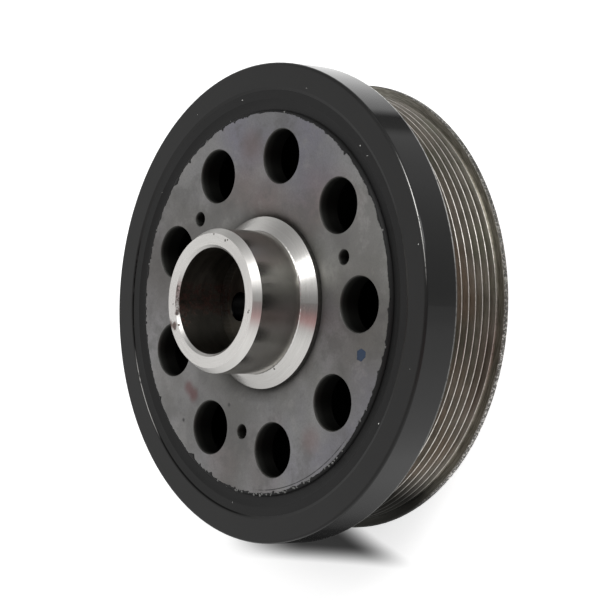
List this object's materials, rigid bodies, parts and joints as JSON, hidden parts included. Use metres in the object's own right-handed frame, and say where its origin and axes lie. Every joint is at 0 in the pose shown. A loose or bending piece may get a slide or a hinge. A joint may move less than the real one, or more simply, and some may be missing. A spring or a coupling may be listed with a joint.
{
  "type": "crankshaft pulley",
  "caption": "Grooved belt pulley with a rubber-bonded damper ring on a steel hub, whose hollow nose enters the engine's front seal.",
  "frame": {"origin": "centre of the belt-side end face, on the axis, where the part rests", "axes": "+Z along the axis towards the hub's nose (engine side), +X through one web window"},
  "size_m": [0.185, 0.185, 0.0716],
  "materials": {
    "hub_steel": "turned steel, bright on the nose, dull and mottled on the web",
    "bonded_rubber": "matt black moulded rubber",
    "black_coat": "satin black coating on cast iron",
    "pulley_steel": "bare rolled steel with bright crests and dull grooves"
  },
  "bodies": {
    "root": {"hub": "hub_steel", "damper_rubber": "bonded_rubber", "inertia_ring": "black_coat", "pulley": "pulley_steel"}
  },
  "joints": []
}
